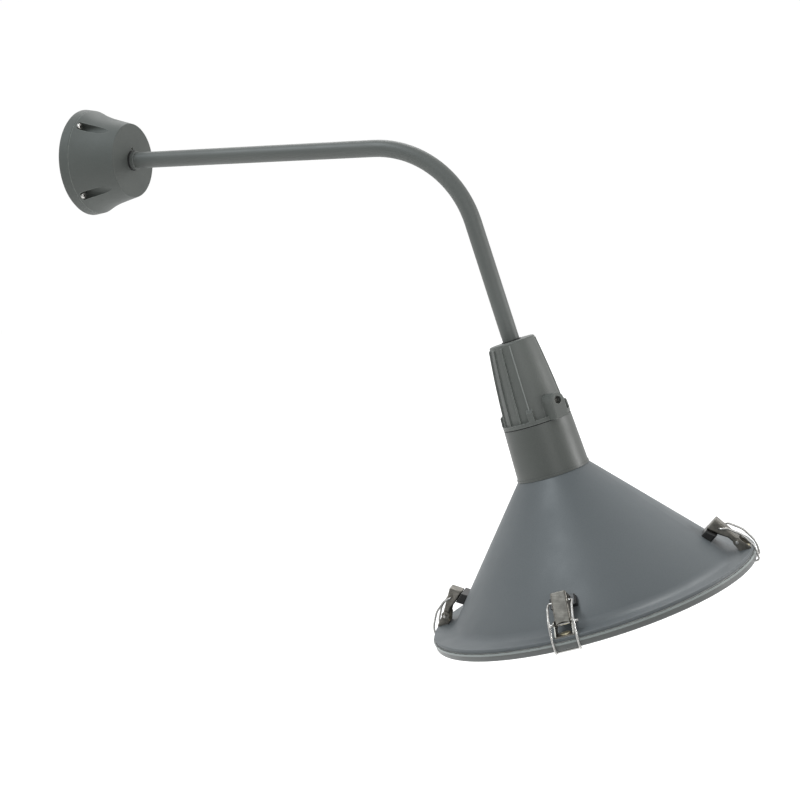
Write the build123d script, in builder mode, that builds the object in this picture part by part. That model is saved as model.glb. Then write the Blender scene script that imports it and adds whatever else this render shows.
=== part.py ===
from build123d import *
import os
from math import cos, hypot, radians, sin

os.makedirs("parts", exist_ok=True)

# Gooseneck wall light.  Millimetres, +Z up.  The origin is the middle of the mounting face on the
# wall, +X points out of the wall, and the arm starts along +X and bends down in the XZ plane.
# The head's own axis runs on from the arm; s is the distance down that axis from the top of the
# socket housing, r the distance from it.

# ---- driving dimensions: wall canopy ------------------------------------------------------------
foam_t = 1.5                 # foam seal against the wall
foam_inset = 2.0             # foam edge inside the plate's edge
canopy_r = 70.8              # rim radius
plate_t = 12.4               # cast wall plate
plate_floor = 3.5            # thickness of its floor
plate_recess_r = 54.0
plate_edge = 0.8             # broken edge of the plate's rim
canopy_depth = 69.8          # wall to front face
canopy_front_r = 48.9        # radius of the flat front face
canopy_edge = 1.4            # rounding round the front face
flare_x = 44.0               # where the straight taper turns into the flared skirt
flare_r = 56.2               # cover radius there
skirt_r = 68.8               # cover radius at the seam with the plate
cover_wall = 4.0
hub_r = 19.0                 # inside hub that carries the arm
hub_len = 14.0
screw_count = 4
screw_pcd = 127.0            # cover screws
screw_turn = 42.0            # degrees from +Y to the first one
pocket_r = 6.4               # screw pockets in the cover's side
pocket_deep = 5.0            # how much longer than round they are, towards the middle
pocket_floor = 3.5           # cover left under each screw head
pocket_wall = 2.5            # wall round each pocket
cover_screw_r = 2.0          # M4
cover_head_r = 4.2
cover_head_t = 3.2
box_spacing = 88.9           # hole to hole, standard round wall box
box_hole_r = 2.6
wire_hole_r = 11.0
wire_hole_z = 24.0
block_size = (30.0, 18.0, 14.0)   # terminal block: Y, Z, X
block_z = -5.5
ground_r = 2.0               # earth screw
ground_z = -30.0
ground_head_r = 3.8
ground_head_t = 2.4

# ---- driving dimensions: arm --------------------------------------------------------------------
pipe_r = 10.65               # half-inch pipe
pipe_wall = 2.65
arm_tail = 12.0              # arm inside the canopy, behind the hub
straight = 421.9             # wall to the start of the bend
bend_r = 133.0
bend_angle = 73.3
drop = 153.0                 # end of the bend to the socket housing
arm_insert = 22.0            # arm inside the socket housing
washer_r = 13.4
washer_t = 2.0
jam_r = 12.3                 # round jam collar against the canopy
jam_t = 5.5
locknut_r = 16.5
locknut_t = 6.0
key_r = 2.0                  # small locking screw beside the arm
key_len = 9.0
key_z = 15.6
key_sunk = 1.2
lead_r = 1.4
lead_deep = 7.0              # leads inside the terminal block
lead_angles = (-122, -90, -58)

# ---- driving dimensions: socket housing ---------------------------------------------------------
housing_len = 103.2
housing_top_r = 28.6
housing_mid_r = 34.6
housing_low_r = 38.6
housing_round = 2.6
housing_wall = 3.2
housing_roof = 7.0
housing_hub_r = 17.0
housing_hub_deep = 5.0       # hub beyond the arm's end
base_t = 4.6                 # base flange
base_r = 43.0
base_pad = 12.0              # thick ring inside the base, for the screws
base_bore_r = 31.0
fin_count = 7                # cast fins on the wall side
fin_pitch = 24.0             # degrees
fin_t = 2.4
fin_h = 1.9
fin_top = 2.8
boss_w = 7.4                 # raised blocks on the base flange, one over each latch
boss_h = 15.5
boss_out = 4.6
boss_turn = -4.3             # degrees from each latch to its block
ridge_w = 1.2                # thin ridge above each block
ridge_h = 0.9
root = 1.5                   # how far raised details run into the casting
lug_angle = 38.4             # big lug, degrees round the head from the outer side
lug_out = 58.5
lug_w = 18.4
lug_s = 81.8                 # centre of the lug's round top and hole
lug_edge = 1.2
lug_hole_r = 4.9
lug_hole_deep = 16.0
plug_len = 6.0
plug_sunk = 9.0
seal_t = 1.2                 # thin seal round the arm at the housing's roof
seal_out = 1.5
gasket_t = 1.4               # dark seam between housing and collar
gasket_inset = 0.9
housing_screw_at = 35.5
housing_screw_r = 2.0
housing_head_r = 3.4
housing_head_t = 2.6
housing_screw_len = 14.0

# ---- driving dimensions: collar, shade and lens -------------------------------------------------
collar_len = 64.9
collar_low_r = 45.5
collar_wall = 3.0
collar_bead = 0.8
collar_bead_t = 2.4
collar_roof = 4.0
collar_eye_r = 24.0
collar_lip_t = 3.0
collar_lip_r = 34.5          # opening through the collar's bottom flange
cone_slope = 0.8785          # radius gained for each millimetre down the head
cone_wall = 1.5
flange_r = 204.5
flange_flat = 25.9           # from the cone's foot, before its fillet, to the edge
flange_fillet = 18.0
flange_roll = 4.0            # turned-down edge of the flange
roll_bend = 1.6
ring_gap = 0.8               # dark line between flange edge and lens ring
ring_over = 1.5              # lens ring beyond the flange
ring_len = 9.0
ring_wall = 1.6
ring_bead = 0.8              # rolled upper lip of the lens ring
ring_bead_t = 2.2
ring_lip = 16.5              # its lower lip, inwards from the flange's edge
ring_round = 1.4
lens_in = 2.8                # glass edge inside the ring's wall
lens_t = 4.0
gasket_leg_t = 3.15          # silicone between flange and glass
gasket_over = 1.8            # how far it laps the top of the glass
gasket_show = 3.0            # lower lip of the ring inside the gasket
shade_screw_at = 39.8
shade_screw_r = 1.9
shade_head_r = 3.3
shade_head_t = 2.2

# ---- driving dimensions: holder and lamp --------------------------------------------------------
holder_plate_r = 31.0
holder_plate_t = 2.0
holder_eye_r = 10.0
holder_screw_at = 27.6
holder_screw_r = 1.5
holder_head_r = 2.7
holder_head_t = 1.8
holder_r = 21.0
holder_len = 46.0
holder_roof = 8.0
holder_edge = 2.0
shell_r = 14.4
shell_wall = 0.6
shell_len = 29.0
cap_r = 13.2
cap_len = 28.0
cap_nose_r = 5.0
cap_nose = 4.0
cap_ridges = 5
cap_ridge_r = 0.8
contact_r = 4.0
contact_t = 3.0
neck_r = 12.0                # lamp neck
neck_len = 8.0
lamp_r = 37.0
lamp_len = 122.0             # glass, from the cap's end
lamp_wall = 1.0
arc_r = 5.0
arc_len = 52.0
arc_from = 34.0
stem_r = 1.5

# ---- driving dimensions: latches ----------------------------------------------------------------
latch_count = 4
latch_angle = -6.7           # first latch, degrees round the head from the outer side
pivot_in = 15.2              # lever pin, inwards from the flange's edge
pivot_up = 11.5              # and above the flange
pin_r = 1.8
pin_half = 17.0
pin_fit = 0.06
lever_lean = 57.25           # lever's back, degrees from square to the head's axis
lever_w = 18.6
lever_bend = 2.3             # rounding along the back's two folded edges
lever_t = 1.3
lever_len = 42.2
lever_pin_u = 36.5           # pin from the lever's free end
lever_pin_v = 4.2            # pin below the lever's back
lever_deep = 17.0            # depth of the lever's sides at the free end
lever_deep_u = 15.5          # and here, where they start to narrow
lever_deep_end = 12.6
lever_shallow = 8.2          # depth of the sides along the rest
lever_shallow_u = 26.0
spine_len = 39.5             # back, from the free end; the sides run on round the pin
spine_arch = 4.0             # depth of the arch at its end
lever_round = 1.2
bail_u = 10.6                # bail pivot on the lever
bail_v = 5.7
wire_r = 1.3
leg_half = 14.2
hook_reach = 6.0             # hook under the lens ring
hook_gap = 0.4               # wire to lens ring, all through the travel
bail_knees = ((10.0, 2.1), (24.0, 13.0))   # bends of each leg from its pivot: outwards, down
bail_rise = 1.0              # straight end of each leg starts this far above the flange
bail_bends = (2.6, 8.0, 22.0, 22.0, 2.6, 2.6)
stub_half = 5.5              # wire ends inside the lever
bracket_gap = 0.4            # lever side to bracket ear
bracket_t = 1.5
bracket_back = 15.5          # bracket, inwards from the flange's edge: back, front
bracket_front = 1.3
ear_r = 5.0
bumper_half = 15.5           # rubber bar under the lever's free end
bumper_from = 0.5
bumper_to = 14.0
bumper_edge = 2.2
rivet_in = 8.9               # rivet, inwards from the flange's edge
rivet_r = 1.6
rivet_head_r = 6.0
rivet_head_t = 1.5
rivet_clench_r = 2.9         # closed head under the flange

running = 0.3                # gap between moving pieces
seat = 0.1                   # gap under pieces that rest on curved faces
fit = 0.05                   # screws and threads in their holes
hole_play = 0.3              # clearance holes

# ---- frames and shared places -------------------------------------------------------------------
turn = radians(bend_angle)
head_dir = Vector(cos(turn), 0, -sin(turn))
head_out = Vector(sin(turn), 0, cos(turn))
head_side = Vector(0, -1, 0)
bend_end = Vector(straight + bend_r * sin(turn), 0, -bend_r * (1 - cos(turn)))
head_top = bend_end + head_dir * drop
head_axis = Axis(head_top, head_dir)


def head_plane(s):
    """Across the head's axis at s; its normal points down the head."""
    return Plane(head_top + head_dir * s, x_dir=head_out, z_dir=head_dir)


def outward(angle):
    return head_out * cos(radians(angle)) + head_side * sin(radians(angle))


def radial_plane(angle):
    """Through the head's axis at this angle: local X is r, local Y is s."""
    return Plane(head_top, x_dir=outward(angle), z_dir=outward(angle).cross(head_dir))


side = radial_plane(0)
plate_x = foam_t
cover_x = plate_x + plate_t
floor_x = plate_x + plate_floor
hub_x = canopy_depth - cover_wall - hub_len
arm_x = hub_x - arm_tail
bore_r = pipe_r - pipe_wall
collar_s = housing_len + gasket_t
collar_roof_s = collar_s + collar_roof
neck_s = collar_s + collar_len
holder_s = collar_roof_s + holder_plate_t
cup_s = holder_s + holder_roof
cap_s = cup_s + contact_t + seat
lamp_s = cap_s + cap_len
flange_s = neck_s + (flange_r - flange_flat - collar_low_r) / cone_slope
flange_in_s = flange_s + cone_wall
lens_s = flange_in_s + gasket_leg_t
ring_s = flange_s + flange_roll + ring_gap
ring_end = ring_s + ring_len
lip_s = ring_end - ring_wall
ring_r = flange_r + ring_over
ring_lip_r = flange_r - ring_lip
lens_r = ring_r - ring_wall - lens_in
gasket_top_r = lens_r - gasket_over
gasket_low_r = ring_lip_r + gasket_show
pivot_r = flange_r - pivot_in
pivot_s = flange_s - pivot_up
bracket_in = flange_r - bracket_back
bracket_out = flange_r - bracket_front
rivet_at = flange_r - rivet_in
latch_angles = [latch_angle + i * 360 / latch_count for i in range(latch_count)]
screw_spots = PolarLocations(screw_pcd / 2, screw_count, screw_turn)
pocket_spots = PolarLocations((screw_pcd - pocket_deep) / 2, screw_count, screw_turn)


def cone_r(s):
    """Radius of the shade's outer face."""
    return collar_low_r + cone_slope * (s - neck_s)


# ---- wall canopy --------------------------------------------------------------------------------
def box_holes(mode):
    """Holes on a standard wall box's centres, and the hole for the supply."""
    with GridLocations(box_spacing, 0, 2, 1):
        Circle(box_hole_r, mode=mode)
    with Locations((0, wire_hole_z)):
        Circle(wire_hole_r, mode=mode)


with BuildPart() as wall_gasket:
    with BuildSketch(Plane.YZ):
        Circle(canopy_r - foam_inset)
        box_holes(Mode.SUBTRACT)
    extrude(amount=foam_t)
wall_gasket.part.label = "wall_gasket"
export_step(wall_gasket.part, "parts/wall_gasket.step")

with BuildPart() as wall_plate:
    with BuildSketch(Plane.XZ):
        with BuildLine():
            Polyline((plate_x, 0), (plate_x, canopy_r), (cover_x, skirt_r), (cover_x, 0), close=True)
        make_face()
        chamfer(vertices().sort_by(Axis.Y)[-2:], plate_edge)
    revolve(axis=Axis.X)
    with BuildSketch(Plane.YZ.offset(floor_x)):
        Circle(plate_recess_r)
    extrude(amount=plate_t, mode=Mode.SUBTRACT)
    with BuildSketch(Plane.YZ.offset(plate_x)):
        box_holes(Mode.ADD)
        with screw_spots:
            Circle(cover_screw_r + fit)
        with Locations((0, ground_z)):
            Circle(ground_r + fit)
    extrude(amount=plate_t, mode=Mode.SUBTRACT)
wall_plate.part.label = "wall_plate"
export_step(wall_plate.part, "parts/wall_plate.step")


def bell(inset, x0, x1):
    """The cover's bell shape, shrunk all round by inset, from x0 to x1 out from the wall."""
    with BuildSketch(Plane.XZ) as profile:
        with BuildLine():
            taper = Line((x1, canopy_front_r - inset), (flare_x, flare_r - inset))
            TangentArc((flare_x, flare_r - inset), (x0, skirt_r - inset), tangent=taper % 1)
            Polyline((x0, skirt_r - inset), (x0, 0), (x1, 0), (x1, canopy_front_r - inset))
        make_face()
    revolve(profile.sketch, axis=Axis.X)


with BuildPart() as canopy_space:
    bell(cover_wall, cover_x, canopy_depth - cover_wall)
    with BuildSketch(Plane.YZ.offset(cover_x)):
        with pocket_spots:
            SlotCenterToCenter(pocket_deep, (pocket_r + pocket_wall) * 2)
    extrude(amount=canopy_depth, mode=Mode.SUBTRACT)
    with BuildSketch(Plane.YZ.offset(hub_x)):
        Circle(hub_r)
    extrude(amount=hub_len, mode=Mode.SUBTRACT)

with BuildPart() as canopy_cover:
    bell(0, cover_x, canopy_depth)
    fillet(canopy_cover.edges().filter_by(GeomType.CIRCLE).sort_by(Axis.X)[-1], canopy_edge)
    add(canopy_space.part, mode=Mode.SUBTRACT)
    with BuildSketch(Plane.YZ.offset(cover_x + pocket_floor)):
        with pocket_spots:
            SlotCenterToCenter(pocket_deep, pocket_r * 2)
    extrude(amount=canopy_depth, mode=Mode.SUBTRACT)
    with BuildSketch(Plane.YZ.offset(cover_x)):
        with screw_spots:
            Circle(cover_screw_r + hole_play)
        Circle(pipe_r + fit)
    extrude(amount=canopy_depth, mode=Mode.SUBTRACT)
    with BuildSketch(Plane.YZ.offset(canopy_depth)):
        with Locations((0, key_z)):
            Circle(key_r + fit)
    extrude(amount=-(key_len + key_sunk), mode=Mode.SUBTRACT)
canopy_cover.part.label = "canopy_cover"
export_step(canopy_cover.part, "parts/canopy_cover.step")


def pan_screw(plane, spots, shank_r, shank_len, head_r, head_t):
    """Pan head screws on the plane, shanks down, with a cross recess in each head."""
    with BuildSketch(plane) as shanks:
        with spots:
            Circle(shank_r)
    extrude(shanks.sketch, amount=-shank_len)
    with BuildSketch(plane) as heads:
        with spots:
            Circle(head_r)
    tops = extrude(heads.sketch, amount=head_t)
    rims = tops.edges().filter_by(GeomType.CIRCLE).group_by(Axis(plane.origin, plane.z_dir))[-1]
    fillet(rims, head_t * 0.45)
    with BuildSketch(plane.offset(head_t)) as crosses:
        with spots:
            Rectangle(head_r * 1.1, head_r * 0.24)
            Rectangle(head_r * 0.24, head_r * 1.1)
    extrude(crosses.sketch, amount=-head_t * 0.5, mode=Mode.SUBTRACT)


with BuildPart() as canopy_screws:
    pan_screw(Plane.YZ.offset(cover_x + pocket_floor), screw_spots, cover_screw_r,
              pocket_floor + plate_t - running, cover_head_r, cover_head_t)
canopy_screws.part.label = "canopy_screws"
export_step(canopy_screws.part, "parts/canopy_screws.step")

with BuildPart() as earth_screw:
    pan_screw(Plane.YZ.offset(floor_x), Locations((0, ground_z)), ground_r,
              plate_floor - running, ground_head_r, ground_head_t)
earth_screw.part.label = "earth_screw"
export_step(earth_screw.part, "parts/earth_screw.step")

lead_out = bore_r - lead_r - seat
lead_spots = [(lead_out * cos(radians(a)), lead_out * sin(radians(a))) for a in lead_angles]

with BuildPart() as terminal_block:
    with BuildSketch(Plane.YZ.offset(floor_x)):
        with Locations((0, block_z)):
            RectangleRounded(block_size[0], block_size[1], 1.5)
    extrude(amount=block_size[2])
    with BuildSketch(Plane.YZ.offset(floor_x + block_size[2])):
        with Locations(lead_spots):
            Circle(lead_r + fit)
    extrude(amount=-(lead_deep + seat), mode=Mode.SUBTRACT)
terminal_block.part.label = "terminal_block"
export_step(terminal_block.part, "parts/terminal_block.step")

# ---- arm ----------------------------------------------------------------------------------------
with BuildPart() as gooseneck_arm:
    with BuildLine(Plane.XZ) as arm_path:
        level = Line((arm_x, 0), (straight, 0))
        elbow = JernArc(start=level @ 1, tangent=level % 1, radius=bend_r, arc_size=-bend_angle)
        Line(elbow @ 1, elbow @ 1 + (drop + arm_insert) * (elbow % 1))
    with BuildSketch(Plane.YZ.offset(arm_x)):
        Circle(pipe_r)
        Circle(bore_r, mode=Mode.SUBTRACT)
    sweep(path=arm_path.wire())
gooseneck_arm.part.label = "gooseneck_arm"
export_step(gooseneck_arm.part, "parts/gooseneck_arm.step")

lead_x = floor_x + block_size[2] - lead_deep
for lead_name, (lead_y, lead_z) in zip(("lead_neutral", "lead_earth", "lead_live"), lead_spots):
    with BuildPart() as lead:
        with BuildLine(Plane.XZ.offset(-lead_y)) as lead_path:
            level = Line((lead_x, lead_z), (straight, lead_z))
            elbow = JernArc(start=level @ 1, tangent=level % 1, radius=bend_r + lead_z,
                            arc_size=-bend_angle)
            Line(elbow @ 1, elbow @ 1 + (drop + holder_s - seat) * (elbow % 1))
        with BuildSketch(Plane.YZ.offset(lead_x)):
            with Locations((lead_y, lead_z)):
                Circle(lead_r)
        sweep(path=lead_path.wire())
    lead.part.label = lead_name
    export_step(lead.part, f"parts/{lead_name}.step")


def ring(plane, outer, inner, thick):
    """A flat washer standing on the plane."""
    with BuildSketch(plane) as washer:
        Circle(outer)
        Circle(inner, mode=Mode.SUBTRACT)
    extrude(washer.sketch, amount=thick)


with BuildPart() as arm_gasket:
    ring(Plane.YZ.offset(canopy_depth), washer_r, pipe_r + fit, washer_t)
    fillet(arm_gasket.edges().filter_by(GeomType.CIRCLE).sort_by(Axis.X)[-1], washer_t / 3)
arm_gasket.part.label = "arm_gasket"
export_step(arm_gasket.part, "parts/arm_gasket.step")

with BuildPart() as jam_collar:
    ring(Plane.YZ.offset(canopy_depth + washer_t), jam_r, pipe_r + fit, jam_t)
    chamfer(jam_collar.edges().filter_by(GeomType.CIRCLE).group_by(Axis.X)[-1].sort_by(SortBy.RADIUS)[-1],
            (jam_r - pipe_r) / 2)
jam_collar.part.label = "jam_collar"
export_step(jam_collar.part, "parts/jam_collar.step")

with BuildPart() as arm_locknut:
    with BuildSketch(Plane.YZ.offset(hub_x)):
        RegularPolygon(locknut_r, 6)
        Circle(pipe_r + fit, mode=Mode.SUBTRACT)
    extrude(amount=-locknut_t)
arm_locknut.part.label = "arm_locknut"
export_step(arm_locknut.part, "parts/arm_locknut.step")


def grub_screw(plane, spot, radius, length):
    """A headless screw below the plane, with a hexagon socket."""
    with BuildSketch(plane) as thread:
        with Locations(spot):
            Circle(radius)
    extrude(thread.sketch, amount=-length)
    with BuildSketch(plane) as socket:
        with Locations(spot):
            RegularPolygon(radius * 0.55, 6)
    extrude(socket.sketch, amount=-length * 0.4, mode=Mode.SUBTRACT)


with BuildPart() as arm_key_screw:
    grub_screw(Plane.YZ.offset(canopy_depth - key_sunk), (0, key_z), key_r, key_len - running)
arm_key_screw.part.label = "arm_key_screw"
export_step(arm_key_screw.part, "parts/arm_key_screw.step")

# ---- socket housing -----------------------------------------------------------------------------
base_s = housing_len - base_t
hood_mid = base_s / 2


def hood(inset, s0, s1):
    """Outline from s0 to s1 of the hood's side, moved in by inset, as an arc in the radial plane."""
    def at(s):
        t = s / base_s
        swell = housing_mid_r - (housing_top_r + housing_low_r) / 2
        return housing_top_r + (housing_low_r - housing_top_r) * t + 4 * swell * t * (1 - t) - inset
    return ThreePointArc((at(s0), s0), (at((s0 + s1) / 2), (s0 + s1) / 2), (at(s1), s1))


def raised(angle, width, height, s0, s1):
    """A rib that stands out of the hood's side at this angle, its upper end sloped."""
    with BuildSketch(radial_plane(angle)) as rib:
        with BuildLine():
            inner = hood(root, s0, s1)
            outer = hood(-height, s0 + height, s1)
            Line(inner @ 0, outer @ 0)
            Line(inner @ 1, outer @ 1)
        make_face()
    extrude(rib.sketch, amount=width / 2, both=True)


lug_dir = outward(lug_angle)
lug_plane = Plane(head_top + lug_dir * lug_out, x_dir=head_dir.cross(lug_dir), z_dir=lug_dir)
fin_angles = [latch_angle + 180 + fin_pitch * (i - (fin_count - 1) / 2) for i in range(fin_count)]
housing_spots = PolarLocations(housing_screw_at, latch_count, latch_angle)

with BuildPart() as socket_housing:
    with BuildSketch(side):
        with BuildLine():
            curve = hood(0, 0, base_s)
            Polyline(curve @ 1, (base_r, base_s), (base_r, housing_len), (0, housing_len), (0, 0),
                     curve @ 0)
        make_face()
    revolve(axis=head_axis)
    fillet(socket_housing.edges().filter_by(GeomType.CIRCLE).sort_by(head_axis)[0], housing_round)
    for angle in fin_angles:
        raised(angle, fin_t, fin_h, fin_top, base_s)
    for angle in latch_angles:
        raised(angle + boss_turn, ridge_w, ridge_h, fin_top, base_s)
        raised(angle + boss_turn, boss_w, boss_out, base_s - boss_h, base_s)
    with BuildSketch(lug_plane):
        with Locations((0, lug_s)):
            Circle(lug_w / 2)
        with Locations((0, (lug_s + housing_len) / 2)):
            Rectangle(lug_w, housing_len - lug_s)
    extrude(amount=-(lug_out - housing_low_r + root))
    fillet(socket_housing.faces().sort_by(Axis(head_top, lug_dir))[-1].edges(), lug_edge)
    with BuildSketch(side):
        with BuildLine():
            curve = hood(housing_wall, housing_roof, housing_len - base_pad)
            Polyline(curve @ 1, (0, housing_len - base_pad), (0, housing_roof), curve @ 0)
        make_face()
    revolve(axis=head_axis, mode=Mode.SUBTRACT)
    with BuildSketch(head_plane(housing_roof)):
        Circle(housing_hub_r)
    extrude(amount=arm_insert + housing_hub_deep - housing_roof)
    with BuildSketch(head_plane(0)):
        Circle(pipe_r + fit)
    extrude(amount=housing_len, mode=Mode.SUBTRACT)
    with BuildSketch(head_plane(housing_len)):
        Circle(base_bore_r)
    extrude(amount=-base_pad, mode=Mode.SUBTRACT)
    with BuildSketch(head_plane(housing_len)):
        with housing_spots:
            Circle(housing_screw_r + fit)
    extrude(amount=-(housing_screw_len - collar_roof - gasket_t + running), mode=Mode.SUBTRACT)
    with BuildSketch(lug_plane):
        with Locations((0, lug_s)):
            Circle(lug_hole_r)
    extrude(amount=-lug_hole_deep, mode=Mode.SUBTRACT)
socket_housing.part.label = "socket_housing"
export_step(socket_housing.part, "parts/socket_housing.step")

with BuildPart() as lug_plug:
    grub_screw(lug_plane.offset(-plug_sunk), (0, lug_s), lug_hole_r - fit, plug_len)
lug_plug.part.label = "lug_plug"
export_step(lug_plug.part, "parts/lug_plug.step")

with BuildPart() as arm_seal:
    ring(head_plane(-seal_t), pipe_r + seal_out, pipe_r + fit, seal_t)
arm_seal.part.label = "arm_seal"
export_step(arm_seal.part, "parts/arm_seal.step")

with BuildPart() as housing_gasket:
    with BuildSketch(head_plane(housing_len)):
        Circle(base_r - gasket_inset)
        Circle(base_bore_r, mode=Mode.SUBTRACT)
        with housing_spots:
            Circle(housing_screw_r + hole_play, mode=Mode.SUBTRACT)
    extrude(amount=gasket_t)
housing_gasket.part.label = "housing_gasket"
export_step(housing_gasket.part, "parts/housing_gasket.step")

# ---- collar and shade ---------------------------------------------------------------------------
shade_spots = PolarLocations(shade_screw_at, latch_count, latch_angle + 180 / latch_count)
holder_spots = PolarLocations(holder_screw_at, 2, latch_angle + 180 / latch_count)

with BuildPart() as shade_collar:
    with BuildSketch(side):
        with BuildLine():
            Polyline((collar_eye_r, collar_s), (base_r, collar_s),
                     (collar_low_r, neck_s - collar_bead_t),
                     (collar_low_r + collar_bead, neck_s - collar_bead_t),
                     (collar_low_r + collar_bead, neck_s), (collar_lip_r, neck_s),
                     (collar_lip_r, neck_s - collar_lip_t),
                     (collar_low_r - collar_wall, neck_s - collar_lip_t),
                     (base_r - collar_wall, collar_roof_s), (collar_eye_r, collar_roof_s), close=True)
        make_face()
    revolve(axis=head_axis)
    with BuildSketch(head_plane(collar_s)):
        with housing_spots:
            Circle(housing_screw_r + hole_play)
        with holder_spots:
            Circle(holder_screw_r + fit)
    extrude(amount=collar_roof, mode=Mode.SUBTRACT)
    with BuildSketch(head_plane(neck_s)):
        with shade_spots:
            Circle(shade_screw_r + fit)
    extrude(amount=-collar_lip_t, mode=Mode.SUBTRACT)
shade_collar.part.label = "shade_collar"
export_step(shade_collar.part, "parts/shade_collar.step")

with BuildPart() as housing_screws:
    pan_screw(head_plane(collar_roof_s), housing_spots, housing_screw_r, housing_screw_len,
              housing_head_r, housing_head_t)
housing_screws.part.label = "housing_screws"
export_step(housing_screws.part, "parts/housing_screws.step")

with BuildPart() as shade_cone:
    with BuildSketch(side):
        with BuildLine():
            FilletPolyline((collar_lip_r + 1, neck_s), (collar_low_r, neck_s),
                           (cone_r(flange_s), flange_s), (flange_r, flange_s),
                           (flange_r, flange_s + flange_roll),
                           radius=(roll_bend, flange_fillet, roll_bend))
            offset(amount=cone_wall, side=Side.LEFT)
        make_face()
    revolve(axis=head_axis)
    with BuildSketch(head_plane(neck_s)):
        with shade_spots:
            Circle(shade_screw_r + hole_play)
    extrude(amount=cone_wall, mode=Mode.SUBTRACT)
    with BuildSketch(head_plane(flange_s)):
        with PolarLocations(rivet_at, latch_count, latch_angle):
            Circle(rivet_r + fit)
    extrude(amount=cone_wall, mode=Mode.SUBTRACT)
shade_cone.part.label = "shade_cone"
export_step(shade_cone.part, "parts/shade_cone.step")

with BuildPart() as shade_screws:
    pan_screw(head_plane(neck_s + cone_wall), shade_spots, shade_screw_r,
              cone_wall + collar_lip_t - running, shade_head_r, shade_head_t)
shade_screws.part.label = "shade_screws"
export_step(shade_screws.part, "parts/shade_screws.step")

# ---- lens ---------------------------------------------------------------------------------------
with BuildPart() as lens_gasket:
    with BuildSketch(side):
        with BuildLine():
            roll_in = flange_r - cone_wall - running
            web_s = flange_s + flange_roll + running
            web_r = ring_r - ring_wall - running
            Polyline((gasket_top_r, flange_in_s), (roll_in, flange_in_s), (roll_in, web_s),
                     (web_r, web_s), (web_r, lip_s), (gasket_low_r, lip_s),
                     (gasket_low_r, lens_s + lens_t), (lens_r + fit, lens_s + lens_t),
                     (lens_r + fit, lens_s - fit), (gasket_top_r, lens_s - fit), close=True)
        make_face()
    revolve(axis=head_axis)
lens_gasket.part.label = "lens_gasket"
export_step(lens_gasket.part, "parts/lens_gasket.step")

with BuildPart() as lens_glass:
    with BuildSketch(head_plane(lens_s)):
        Circle(lens_r)
    extrude(amount=lens_t)
lens_glass.part.label = "lens_glass"
export_step(lens_glass.part, "parts/lens_glass.step")

with BuildPart() as lens_ring:
    with BuildSketch(side):
        with BuildLine():
            Polyline((ring_r - ring_wall, ring_s), (ring_r + ring_bead, ring_s),
                     (ring_r + ring_bead, ring_s + ring_bead_t), (ring_r, ring_s + ring_bead_t),
                     (ring_r, ring_end), (ring_lip_r, ring_end), (ring_lip_r, lip_s),
                     (ring_r - ring_wall, lip_s), close=True)
        make_face()
        rim = vertices().sort_by_distance((ring_r, ring_end))[0]
        fillet(rim, ring_round)
    revolve(axis=head_axis)
lens_ring.part.label = "lens_ring"
export_step(lens_ring.part, "parts/lens_ring.step")

# ---- lamp holder and lamp -----------------------------------------------------------------------
with BuildPart() as holder_plate:
    ring(head_plane(collar_roof_s), holder_plate_r, holder_eye_r, holder_plate_t)
    with BuildSketch(head_plane(collar_roof_s)):
        with holder_spots:
            Circle(holder_screw_r + hole_play)
    extrude(amount=holder_plate_t, mode=Mode.SUBTRACT)
holder_plate.part.label = "holder_plate"
export_step(holder_plate.part, "parts/holder_plate.step")

with BuildPart() as holder_screws:
    pan_screw(head_plane(holder_s), holder_spots, holder_screw_r,
              holder_plate_t + collar_roof - running, holder_head_r, holder_head_t)
holder_screws.part.label = "holder_screws"
export_step(holder_screws.part, "parts/holder_screws.step")

with BuildPart() as lamp_holder:
    with BuildSketch(head_plane(holder_s)):
        Circle(holder_r)
    extrude(amount=holder_len)
    fillet(lamp_holder.edges().filter_by(GeomType.CIRCLE).sort_by(head_axis)[-1], holder_edge)
    with BuildSketch(head_plane(cup_s)):
        Circle(shell_r + fit)
    extrude(amount=holder_len, mode=Mode.SUBTRACT)
lamp_holder.part.label = "lamp_holder"
export_step(lamp_holder.part, "parts/lamp_holder.step")

with BuildPart() as holder_contact:
    with BuildSketch(head_plane(cup_s)):
        Circle(contact_r)
    extrude(amount=contact_t)
holder_contact.part.label = "holder_contact"
export_step(holder_contact.part, "parts/holder_contact.step")

with BuildPart() as holder_shell:
    ring(head_plane(cup_s), shell_r, shell_r - shell_wall, shell_len)
holder_shell.part.label = "holder_shell"
export_step(holder_shell.part, "parts/holder_shell.step")

with BuildPart() as lamp_cap:
    with BuildSketch(side):
        with BuildLine():
            core_r = cap_r - cap_ridge_r
            Polyline((0, cap_s), (cap_nose_r, cap_s), (core_r, cap_s + cap_nose), (core_r, lamp_s),
                     (0, lamp_s), close=True)
        make_face()
    revolve(axis=head_axis)
    ridge_pitch = (cap_len - cap_nose) / (cap_ridges + 1)
    with Locations(*[head_plane(lamp_s - ridge_pitch * (i + 1)) for i in range(cap_ridges)]):
        Torus(core_r, cap_ridge_r)
lamp_cap.part.label = "lamp_cap"
export_step(lamp_cap.part, "parts/lamp_cap.step")


def bulb(inset, mode):
    """The lamp's glass outline, moved in by inset."""
    end_s = lamp_s + lamp_len
    belly_s = end_s - lamp_r
    with BuildSketch(side) as outline:
        with BuildLine():
            neck = Line((neck_r - inset, lamp_s + inset), (neck_r - inset, lamp_s + neck_len))
            flank = Spline(neck @ 1, (lamp_r - inset, belly_s), tangents=((0, 1), (0, 1)))
            crown = TangentArc(flank @ 1, (0, end_s - inset), tangent=(0, 1))
            Polyline(crown @ 1, (0, lamp_s + inset), neck @ 0)
        make_face()
    revolve(outline.sketch, axis=head_axis, mode=mode)


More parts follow.
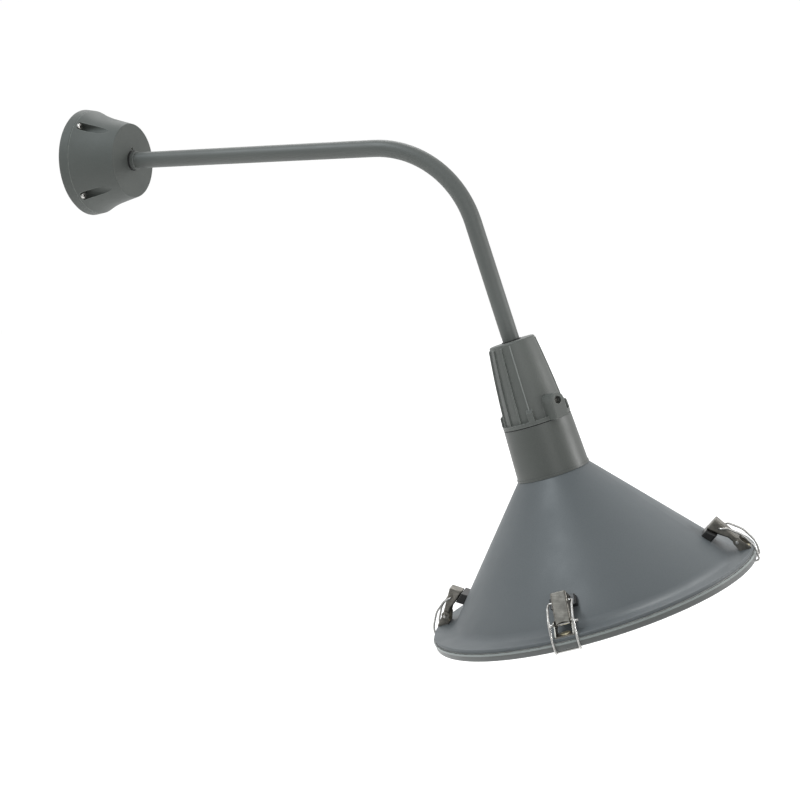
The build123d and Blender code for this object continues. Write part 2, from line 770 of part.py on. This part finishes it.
with BuildPart() as lamp_glass:
    bulb(0, Mode.ADD)
    bulb(lamp_wall, Mode.SUBTRACT)
lamp_glass.part.label = "lamp_glass"
export_step(lamp_glass.part, "parts/lamp_glass.step")

with BuildPart() as lamp_arc:
    with BuildSketch(head_plane(lamp_s + lamp_wall)):
        Circle(stem_r)
    extrude(amount=arc_from)
    with BuildSketch(head_plane(lamp_s + arc_from)):
        Circle(arc_r)
    extrude(amount=arc_len)
    fillet(lamp_arc.edges().filter_by(GeomType.CIRCLE).sort_by(head_axis)[-1], arc_r * 0.8)
lamp_arc.part.label = "lamp_arc"
export_step(lamp_arc.part, "parts/lamp_arc.step")


# ---- latches ------------------------------------------------------------------------------------
lean = radians(lever_lean)
ear_in = lever_w / 2 + bracket_gap
ear_out = ear_in + bracket_t
pad_s = flange_s - bracket_t
deep_slope = (lever_deep - lever_deep_end) / lever_deep_u
hook_r = ring_r + ring_bead + hook_gap + wire_r
hook_s = ring_end + hook_gap + wire_r
bail_r = pivot_r + (bail_u - lever_pin_u) * cos(lean) - (bail_v - lever_pin_v) * sin(lean)
bail_s = pivot_s + (bail_u - lever_pin_u) * sin(lean) + (bail_v - lever_pin_v) * cos(lean)


def lever_plane(angle):
    """In the closed lever: local X along its back from the free end, local Y inwards."""
    along = outward(angle) * cos(lean) + head_dir * sin(lean)
    inward = head_dir * cos(lean) - outward(angle) * sin(lean)
    pin = radial_plane(angle).from_local_coords((pivot_r, pivot_s, 0))
    return Plane(pin - along * lever_pin_u - inward * lever_pin_v, x_dir=along,
                 z_dir=along.cross(inward))


leg = [(bail_r, bail_s)] + [(bail_r + out, bail_s + down) for out, down in bail_knees]
leg += [(hook_r, flange_s - bail_rise), (hook_r, hook_s), (hook_r - hook_reach, hook_s)]
wire_points = [(bail_r, bail_s, -stub_half)] + [(r, s, -leg_half) for r, s in leg]
wire_points += [(r, s, leg_half) for r, s in reversed(leg)] + [(bail_r, bail_s, stub_half)]

for number, angle in enumerate(latch_angles, start=1):
    across = radial_plane(angle)
    back = lever_plane(angle)

    with BuildPart() as bracket:
        with BuildSketch(across):
            with BuildLine():
                Polyline((bracket_in, flange_s), (bracket_out, flange_s), (bracket_out, pad_s),
                         (pivot_r + ear_r, pivot_s), (pivot_r - ear_r, pivot_s), close=True)
            make_face()
            with Locations((pivot_r, pivot_s)):
                Circle(ear_r)
        extrude(amount=ear_out, both=True)
        with BuildSketch(across):
            with Locations((bracket_in, pad_s - flange_s / 2)):
                Rectangle(flange_s, flange_s)
        extrude(amount=ear_in, both=True, mode=Mode.SUBTRACT)
        with BuildSketch(across):
            with Locations((pivot_r, pivot_s)):
                Circle(pin_r + fit)
        extrude(amount=ear_out, both=True, mode=Mode.SUBTRACT)
        with BuildSketch(Plane(across.from_local_coords((rivet_at, pad_s, 0)), z_dir=head_dir)):
            Circle(rivet_r + fit)
        extrude(amount=bracket_t, mode=Mode.SUBTRACT)
    bracket.part.label = f"latch_bracket_{number}"
    export_step(bracket.part, f"parts/latch_bracket_{number}.step")

    with BuildPart() as pin:
        with BuildSketch(across):
            with Locations((pivot_r, pivot_s)):
                Circle(pin_r)
        extrude(amount=pin_half, both=True)
        chamfer(pin.edges().filter_by(GeomType.CIRCLE), pin_r / 5)
    pin.part.label = f"latch_pin_{number}"
    export_step(pin.part, f"parts/latch_pin_{number}.step")

    with BuildPart() as lever:
        with BuildSketch(back):
            with BuildLine():
                Polyline((0, 0), (lever_len, 0), (lever_len, lever_pin_v),
                         (lever_len - lever_pin_v, lever_shallow), (lever_shallow_u, lever_shallow),
                         (lever_deep_u, lever_deep_end), (0, lever_deep), close=True)
            make_face()
            fillet(vertices(), lever_round)
        extrude(amount=lever_w / 2, both=True)
        folds = lever.edges().filter_by(Axis(back.origin, back.x_dir))
        fillet(folds.group_by(Axis(back.origin, back.y_dir))[0], lever_bend)
        with BuildSketch(back):
            with Locations((lever_t + lever_len / 2, lever_t + lever_len / 2)):
                Rectangle(lever_len, lever_len)
        extrude(amount=lever_w / 2 - lever_t, both=True, mode=Mode.SUBTRACT)
        with BuildSketch(Plane(back.origin, x_dir=back.x_dir, z_dir=back.y_dir)):
            with Locations((spine_len, 0)):
                Ellipse(spine_arch, lever_w / 2 - lever_t)
            with Locations(((spine_len + lever_len) / 2, 0)):
                Rectangle(lever_len - spine_len, lever_w - lever_t * 2)
        extrude(amount=lever_t, mode=Mode.SUBTRACT)
        with BuildSketch(back):
            with Locations((lever_pin_u, lever_pin_v)):
                Circle(pin_r + pin_fit)
            with Locations((bail_u, bail_v)):
                Circle(wire_r + pin_fit)
        extrude(amount=lever_w / 2, both=True, mode=Mode.SUBTRACT)
    lever.part.label = f"latch_lever_{number}"
    export_step(lever.part, f"parts/latch_lever_{number}.step")

    with BuildPart() as bail:
        with BuildLine() as wire_path:
            FilletPolyline(*[across.from_local_coords(point) for point in wire_points],
                           radius=bail_bends + bail_bends[::-1])
        with BuildSketch(Plane(wire_path.wire() @ 0, z_dir=wire_path.wire() % 0)):
            Circle(wire_r)
        sweep(path=wire_path.wire())
    bail.part.label = f"latch_bail_{number}"
    export_step(bail.part, f"parts/latch_bail_{number}.step")

    with BuildPart() as bumper:
        with BuildSketch(back):
            with BuildLine():
                foot = lever_deep * 2    # inside the shade, which trims it
                Polyline((bumper_from, lever_deep + running - bumper_from * deep_slope),
                         (bumper_to, lever_deep + running - bumper_to * deep_slope),
                         (bumper_to, foot), (bumper_from, foot), close=True)
            make_face()
        extrude(amount=bumper_half, both=True)
        ends = bumper.faces().sort_by(Axis(back.origin, back.z_dir))
        fillet((ends[:1] + ends[-1:]).edges(), bumper_edge)
        with BuildSketch(side):
            with BuildLine():
                Polyline((0, neck_s), (cone_r(neck_s), neck_s - seat), (cone_r(flange_s), flange_s - seat),
                         (0, flange_s), close=True)
            make_face()
        revolve(axis=head_axis, mode=Mode.SUBTRACT)
    bumper.part.label = f"latch_bumper_{number}"
    export_step(bumper.part, f"parts/latch_bumper_{number}.step")

with BuildPart() as bracket_rivets:
    with BuildSketch(head_plane(pad_s)):
        with PolarLocations(rivet_at, latch_count, latch_angle):
            Circle(rivet_head_r)
    extrude(amount=-rivet_head_t)
    fillet(bracket_rivets.edges().filter_by(GeomType.CIRCLE).group_by(head_axis)[0], rivet_head_t / 2)
    with BuildSketch(head_plane(pad_s)):
        with PolarLocations(rivet_at, latch_count, latch_angle):
            Circle(rivet_r)
    extrude(amount=bracket_t + cone_wall)
    with BuildSketch(head_plane(flange_in_s)):
        with PolarLocations(rivet_at, latch_count, latch_angle):
            Circle(rivet_clench_r)
    extrude(amount=rivet_head_t / 2)
bracket_rivets.part.label = "bracket_rivets"
export_step(bracket_rivets.part, "parts/bracket_rivets.step")
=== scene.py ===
import math
import bpy
from mathutils import Matrix, Vector

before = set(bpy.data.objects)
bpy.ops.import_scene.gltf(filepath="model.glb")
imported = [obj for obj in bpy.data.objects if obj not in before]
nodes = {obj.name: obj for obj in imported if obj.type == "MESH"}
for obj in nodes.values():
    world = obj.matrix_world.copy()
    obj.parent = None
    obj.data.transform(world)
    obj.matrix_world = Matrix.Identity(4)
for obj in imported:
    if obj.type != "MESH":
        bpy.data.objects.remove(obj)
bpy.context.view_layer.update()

scene = bpy.context.scene

# ---- camera: solved from the photograph -----------------------------------------------------------
AZ, EL, ROLL = (math.radians(v) for v in (22.474817, 10.018328, -2.720575))
CAMERA_PLACE = (1.105737, -1.606271, -0.011561)
FOCAL_PIXELS = 1375.9602
PHOTO_WIDTH = 800
SENSOR = 36    # mm
forward = Vector((-math.sin(AZ) * math.cos(EL), math.cos(AZ) * math.cos(EL), -math.sin(EL)))
right = Vector((math.cos(AZ), math.sin(AZ), 0))
up = right.cross(forward)
cam_x = right * math.cos(ROLL) + up * math.sin(ROLL)
cam_y = up * math.cos(ROLL) - right * math.sin(ROLL)
camera = bpy.data.objects.new("camera", bpy.data.cameras.new("camera"))
scene.collection.objects.link(camera)
turned = Matrix((cam_x, cam_y, -forward)).transposed().to_4x4()
camera.matrix_world = Matrix.Translation(CAMERA_PLACE) @ turned
camera.data.sensor_width = SENSOR
camera.data.lens = FOCAL_PIXELS / PHOTO_WIDTH * SENSOR
camera.data.clip_start = 0.05
scene.camera = camera

# ---- the head's own frame -------------------------------------------------------------------------
BEND = math.radians(73.3)    # how far the arm turns down
STRAIGHT = 0.4219            # wall to the bend, metres as all sizes here
BEND_R = 0.133
DROP = 0.153                 # end of the bend to the socket housing
HEAD_DIR = Vector((math.cos(BEND), 0, -math.sin(BEND)))
HEAD_OUT = Vector((math.sin(BEND), 0, math.cos(BEND)))
HEAD_SIDE = Vector((0, -1, 0))
BEND_END = Vector((STRAIGHT + BEND_R * math.sin(BEND), 0, -BEND_R * (1 - math.cos(BEND))))
HEAD_TOP = BEND_END + HEAD_DIR * DROP


def head_place(point):
    """(distance down the head's axis, vector out from the axis), in metres."""
    offset = point - HEAD_TOP
    down = offset.dot(HEAD_DIR)
    return down, offset - HEAD_DIR * down


# ---- stage and light ------------------------------------------------------------------------------
FLOOR_Z = -1.5
FLOOR_HALF = 9
FLOOR_FRONT = -4
FLOOR_BACK = 9
floor_corners = [(-FLOOR_HALF, FLOOR_FRONT, FLOOR_Z), (FLOOR_HALF, FLOOR_FRONT, FLOOR_Z),
                 (FLOOR_HALF, FLOOR_BACK, FLOOR_Z), (-FLOOR_HALF, FLOOR_BACK, FLOOR_Z)]
floor_mesh = bpy.data.meshes.new("floor")
floor_mesh.from_pydata(floor_corners, [], [(0, 1, 2, 3)])
floor = bpy.data.objects.new("floor", floor_mesh)
scene.collection.objects.link(floor)
floor_paint = bpy.data.materials.new("pale_floor")
floor_paint.use_nodes = True
floor_shader = floor_paint.node_tree.nodes["Principled BSDF"]
floor_shader.inputs["Base Color"].default_value = (0.86, 0.86, 0.86, 1)
floor_shader.inputs["Roughness"].default_value = 0.9
floor_shader.inputs["Emission Color"].default_value = (1, 1, 1, 1)
floor_shader.inputs["Emission Strength"].default_value = 0.30
floor.data.materials.append(floor_paint)

world = bpy.data.worlds.new("studio")
scene.world = world
world.use_nodes = True

# A white sweep behind the light, a dimmer room in front of it.
SWEEP_TOWARDS = (-0.37, 0.93, 0.10)
ROOM_COLOUR = (0.40, 0.41, 0.41, 1)
SWEEP_COLOUR = (1.01, 1.01, 1.01, 1)
sky = world.node_tree
facing = sky.nodes.new("ShaderNodeVectorMath")
facing.operation = "DOT_PRODUCT"
facing.inputs[1].default_value = SWEEP_TOWARDS
sky.links.new(sky.nodes.new("ShaderNodeTexCoord").outputs["Generated"], facing.inputs[0])
spread = sky.nodes.new("ShaderNodeMapRange")
spread.inputs["From Min"].default_value = -0.45
spread.inputs["From Max"].default_value = 0.35
sky.links.new(facing.outputs["Value"], spread.inputs["Value"])
fade = sky.nodes.new("ShaderNodeMix")
fade.data_type = "RGBA"
fade.inputs[6].default_value = ROOM_COLOUR
fade.inputs[7].default_value = SWEEP_COLOUR
sky.links.new(spread.outputs["Result"], fade.inputs[0])
sky.links.new(fade.outputs[2], sky.nodes["Background"].inputs[0])
scene.view_settings.view_transform = "Standard"


def area_light(name, place, target, size, power, colour=(1, 1, 1)):
    lamp = bpy.data.lights.new(name, "AREA")
    lamp.shape = "DISK"
    lamp.size = size
    lamp.energy = power
    lamp.color = colour
    holder = bpy.data.objects.new(name, lamp)
    scene.collection.objects.link(holder)
    holder.location = place
    holder.rotation_mode = "QUATERNION"
    holder.rotation_quaternion = (Vector(target) - Vector(place)).to_track_quat("-Z", "Y")


area_light("key", (-0.25, -0.88, 1.5), (0.6, -0.1, -0.42), 0.7, 19, (0.88, 0.95, 1.0))
area_light("side", (2.9, 0.8, 0.17), (0.55, 0, -0.3), 0.6, 21)
area_light("fill", (1.9, -2.2, 0.5), (0.5, 0, -0.3), 1.4, 12)
area_light("sweep", (-1.5, 5.5, 5.0), (-1.5, 6.5, -1.5), 5.0, 300)


# ---- materials ------------------------------------------------------------------------------------
class Shader:
    """A procedural material on the object's own coordinates, which ride with its body."""

    def __init__(self, name, rough, metal=0.0):
        self.material = bpy.data.materials.new(name)
        self.material.use_nodes = True
        self.tree = self.material.node_tree
        self.bsdf = self.tree.nodes["Principled BSDF"]
        self.bsdf.inputs["Metallic"].default_value = metal
        self.bsdf.inputs["Roughness"].default_value = rough
        self.coord = self.tree.nodes.new("ShaderNodeTexCoord").outputs["Object"]

    def link(self, a, b):
        self.tree.links.new(a, b)

    def stretched(self, scale):
        node = self.tree.nodes.new("ShaderNodeMapping")
        node.inputs["Scale"].default_value = scale
        self.link(self.coord, node.inputs["Vector"])
        return node.outputs["Vector"]

    def noise(self, scale, detail=3.0, rough=0.55, vector=None):
        node = self.tree.nodes.new("ShaderNodeTexNoise")
        node.inputs["Scale"].default_value = scale
        node.inputs["Detail"].default_value = detail
        node.inputs["Roughness"].default_value = rough
        self.link(vector or self.coord, node.inputs["Vector"])
        return node.outputs["Fac"]

    def ramp(self, value, stops):
        node = self.tree.nodes.new("ShaderNodeValToRGB")
        bar = node.color_ramp.elements
        while len(bar) < len(stops):
            bar.new(0.5)
        for element, (place, colour) in zip(bar, stops):
            element.position = place
            element.color = (*colour, 1)
        self.link(value, node.inputs["Fac"])
        return node.outputs["Color"]

    def mix(self, factor, a, b, mode="MIX"):
        node = self.tree.nodes.new("ShaderNodeMix")
        node.data_type = "RGBA"
        node.blend_type = mode
        for socket, value in ((node.inputs[0], factor), (node.inputs[6], a), (node.inputs[7], b)):
            if isinstance(value, (int, float)):
                socket.default_value = value
            elif isinstance(value, tuple):
                socket.default_value = (*value, 1)
            else:
                self.link(value, socket)
        return node.outputs[2]

    def edges(self, radius, bent=0.78, flat=0.985):
        """Lighter along outside edges, partly paint worn off and partly a painted highlight: how far a rounded
        normal leans from the true one.
        """
        bevel = self.tree.nodes.new("ShaderNodeBevel")
        bevel.samples = 6
        bevel.inputs["Radius"].default_value = radius
        geometry = self.tree.nodes.new("ShaderNodeNewGeometry")
        dot = self.tree.nodes.new("ShaderNodeVectorMath")
        dot.operation = "DOT_PRODUCT"
        self.link(bevel.outputs["Normal"], dot.inputs[0])
        self.link(geometry.outputs["Normal"], dot.inputs[1])
        return self.ramp(dot.outputs["Value"], [(bent, (1, 1, 1)), (flat, (0, 0, 0))])

    def bump(self, height, strength, distance):
        node = self.tree.nodes.new("ShaderNodeBump")
        node.inputs["Strength"].default_value = strength
        node.inputs["Distance"].default_value = distance
        self.link(height, node.inputs["Height"])
        self.link(node.outputs["Normal"], self.bsdf.inputs["Normal"])

    def colour(self, socket):
        self.link(socket, self.bsdf.inputs["Base Color"])

    def roughness(self, value, low, high):
        self.link(self.ramp(value, [(0.3, (low,) * 3), (0.7, (high,) * 3)]), self.bsdf.inputs["Roughness"])


def paint(name, base, rough, grain, grain_depth, mottle=0.05, wear_and_sheen=0.25, edge=0.0009):
    """Semi-matte paint: orange peel or cast grain, slow mottling, and edges a little paler, partly wear and
    partly a painted highlight.
    """
    s = Shader(name, rough)
    dark = tuple(c * (1 - mottle) for c in base)
    pale = tuple(c * (1 + mottle) for c in base)
    # Edge colour: paler paint, partly wear and partly a painted highlight along the edges.
    wear_and_sheen_colour = tuple(c * 2.2 + 0.03 for c in base)
    slow = s.ramp(s.noise(7, 4), [(0.35, dark), (0.65, pale)])
    speck = s.ramp(s.noise(950, 2), [(0.30, (0.93,) * 3), (0.62, (1.04,) * 3)])
    tone = s.mix(1.0, slow, speck, "MULTIPLY")
    patchy = s.ramp(s.noise(160, 3), [(0.28, (wear_and_sheen * 0.35,) * 3), (0.62, (wear_and_sheen,) * 3)])
    wear_and_sheen_share = s.mix(1.0, s.edges(edge), patchy, "MULTIPLY")
    s.colour(s.mix(wear_and_sheen_share, tone, wear_and_sheen_colour))
    s.roughness(s.noise(22, 3), rough - 0.05, rough + 0.06)
    s.bump(s.noise(grain, 3, 0.6), 0.35, grain_depth)
    return s.material


def metal(name, base, rough, dull=0.35):
    """Zinc-plated or bare metal: drawn streaks, dull blotches and fine pits."""
    s = Shader(name, rough, metal=1.0)
    dark = tuple(c * (1 - dull) for c in base)
    blotch = s.ramp(s.noise(130, 5), [(0.36, dark), (0.62, base)])
    streaks = s.noise(1, 3, 0.6, s.stretched((60, 60, 900)))
    drawn = s.ramp(streaks, [(0.3, (0.82,) * 3), (0.7, (1.08,) * 3)])
    s.colour(s.mix(1.0, blotch, drawn, "MULTIPLY"))
    s.roughness(s.noise(90, 4), rough - 0.08, rough + 0.14)
    s.bump(s.noise(700, 3), 0.3, 0.00006)
    return s.material


def moulded(name, base, rough, grain=500, depth=0.00008, spread=0.12):
    """Rubber, plastic or ceramic with a moulded skin."""
    s = Shader(name, rough)
    dark = tuple(c * (1 - spread) for c in base)
    pale = tuple(c * (1 + spread) for c in base)
    s.colour(s.ramp(s.noise(60, 4), [(0.35, dark), (0.65, pale)]))
    s.roughness(s.noise(40, 3), rough - 0.04, rough + 0.05)
    s.bump(s.noise(grain, 3), 0.25, depth)
    return s.material


def glass(name, tint, rough, transmission=1.0):
    """Clear or frosted glass, faintly smudged."""
    s = Shader(name, rough)
    s.bsdf.inputs["Transmission Weight"].default_value = transmission
    s.bsdf.inputs["IOR"].default_value = 1.5
    clearer = tuple(min(1, c * 1.02) for c in tint)
    s.colour(s.ramp(s.noise(5, 3), [(0.3, tint), (0.7, clearer)]))
    s.roughness(s.noise(14, 4), rough, rough + 0.04)
    return s.material


canopy_paint = paint("canopy_paint", (0.069, 0.076, 0.070), 0.62, 620, 0.00016, wear_and_sheen=1.0, edge=0.0018)
arm_paint = paint("arm_paint", (0.091, 0.098, 0.092), 0.50, 900, 0.00004, wear_and_sheen=0.1)
housing_paint = paint("housing_paint", (0.097, 0.104, 0.096), 0.50, 620, 0.00016, wear_and_sheen=0.9, edge=0.0013)
collar_paint = paint("collar_paint", (0.078, 0.084, 0.077), 0.44, 900, 0.00004, wear_and_sheen=0.2)
shade_paint = paint("shade_paint", (0.094, 0.107, 0.113), 0.50, 1100, 0.00003, mottle=0.035, wear_and_sheen=0.2)
ring_paint = paint("ring_paint", (0.106, 0.112, 0.109), 0.38, 1100, 0.00003, mottle=0.04, wear_and_sheen=1.0, edge=0.0012)
# A lighter copy of the ring's paint: a painted highlight on the ring's upper lip.
lip_highlight_paint = paint("lip_highlight_paint", (0.22, 0.245, 0.237), 0.34, 1100, 0.00003, mottle=0.04, wear_and_sheen=0.3)
# A lighter paint: a painted highlight along the housing's thin ridges.
ridge_highlight_paint = paint("ridge_highlight_paint", (0.21, 0.22, 0.21), 0.42, 620, 0.00006, wear_and_sheen=0.3)
white_enamel = paint("white_enamel", (0.74, 0.74, 0.71), 0.32, 800, 0.00003, mottle=0.02, wear_and_sheen=0.0)
zinc = metal("zinc_plate", (0.255, 0.243, 0.218), 0.40)
wire_zinc = metal("wire_zinc", (0.60, 0.59, 0.57), 0.30, dull=0.12)
screw_zinc = metal("screw_zinc", (0.66, 0.65, 0.62), 0.3, dull=0.2)
brass = metal("plain_brass", (0.70, 0.55, 0.26), 0.32, dull=0.2)
nickel = metal("nickel", (0.70, 0.68, 0.64), 0.26, dull=0.12)
rubber = moulded("black_rubber", (0.014, 0.014, 0.014), 0.6)
bumper_rubber = moulded("bumper_rubber", (0.008, 0.008, 0.008), 0.34, 300, 0.00003)
rivet_brass = metal("rivet_brass", (0.66, 0.60, 0.42), 0.36, dull=0.3)
foam = moulded("grey_foam", (0.05, 0.05, 0.05), 0.9, 300, 0.0004)
silicone = moulded("silicone", (0.46, 0.46, 0.44), 0.5)
ceramic = moulded("ceramic", (0.80, 0.79, 0.74), 0.18, 200, 0.00004, 0.03)
nylon = moulded("nylon", (0.62, 0.60, 0.54), 0.45)
lead_black = moulded("lead_black", (0.02, 0.02, 0.02), 0.5)
lead_white = moulded("lead_white", (0.72, 0.71, 0.68), 0.5)
lead_green = moulded("lead_green", (0.03, 0.25, 0.07), 0.5)
lens_glass = glass("lens_glass", (0.93, 0.97, 0.95), 0.0)
lamp_glass = glass("lamp_glass", (0.96, 0.96, 0.93), 0.22, 0.75)

# ---- which piece has which material ----------------------------------------------------------------
finish_of = {
    "wall_gasket": foam, "wall_plate": canopy_paint, "canopy_cover": canopy_paint, "canopy_screws": screw_zinc,
    "earth_screw": brass, "terminal_block": nylon, "gooseneck_arm": arm_paint, "lead_neutral": lead_white,
    "lead_earth": lead_green, "lead_live": lead_black, "arm_gasket": rubber, "jam_collar": arm_paint,
    "arm_locknut": screw_zinc, "arm_key_screw": screw_zinc, "socket_housing": housing_paint,
    "lug_plug": screw_zinc, "arm_seal": rubber, "housing_gasket": rubber, "shade_collar": collar_paint,
    "housing_screws": screw_zinc, "shade_cone": shade_paint, "shade_screws": screw_zinc, "lens_gasket": silicone,
    "lens_glass": lens_glass, "lens_ring": ring_paint, "holder_plate": screw_zinc, "holder_screws": screw_zinc,
    "lamp_holder": ceramic, "holder_contact": brass, "holder_shell": nickel, "lamp_cap": nickel,
    "lamp_glass": lamp_glass, "lamp_arc": ceramic, "bracket_rivets": rivet_brass,
}
for number in range(1, 5):
    finish_of[f"latch_bracket_{number}"] = zinc
    finish_of[f"latch_lever_{number}"] = zinc
    finish_of[f"latch_pin_{number}"] = wire_zinc
    finish_of[f"latch_bail_{number}"] = wire_zinc
    finish_of[f"latch_bumper_{number}"] = bumper_rubber

for name, node in nodes.items():
    node.data.materials.clear()
    node.data.materials.append(finish_of[name])

# The shade is white inside, down to its turned edge.
INSIDE_ENDS = 0.3232
cone = nodes["shade_cone"].data
cone.materials.append(white_enamel)
for face in cone.polygons:
    down, out = head_place(face.center)
    inward = face.normal.dot(out.normalized()) - 0.5 * face.normal.dot(HEAD_DIR)
    face.material_index = 1 if inward < -0.2 and down < INSIDE_ENDS else 0

# The upper lip of the lens ring and the thin ridges on the housing get a painted highlight: a lighter paint on
# those faces.
LIP_ENDS = 0.32815
LIP_R = 0.2058
TAPER_LEN = 0.0986            # the housing above its base flange
TAPER_TOP_R = 0.0286
TAPER_GROWS = 0.010
TAPER_BULGE = 0.004
RIDGE_TURN = 11.0             # degrees from the outer side to the first ridge, then one each quarter
RIDGE_HALF_TURN = 1.6
RIDGE_LOW, RIDGE_HIGH = 0.0003, 0.0012
RIDGE_ENDS = 0.0835
ring = nodes["lens_ring"].data
ring.materials.append(lip_highlight_paint)
for face in ring.polygons:
    down, out = head_place(face.center)
    face.material_index = 1 if down < LIP_ENDS and out.length > LIP_R else 0
housing = nodes["socket_housing"].data
housing.materials.append(ridge_highlight_paint)
for face in housing.polygons:
    down, out = head_place(face.center)
    share = down / TAPER_LEN
    proud = out.length - (TAPER_TOP_R + TAPER_GROWS * share + TAPER_BULGE * share * (1 - share))
    around = math.degrees(math.atan2(out.dot(HEAD_SIDE), out.dot(HEAD_OUT)))
    off_ridge = (around + RIDGE_TURN + 45) % 90 - 45
    on_ridge = RIDGE_LOW < proud < RIDGE_HIGH and abs(off_ridge) < RIDGE_HALF_TURN and down < RIDGE_ENDS
    # Faces on a ridge take the painted highlight.
    face.material_index = 1 if on_ridge else 0
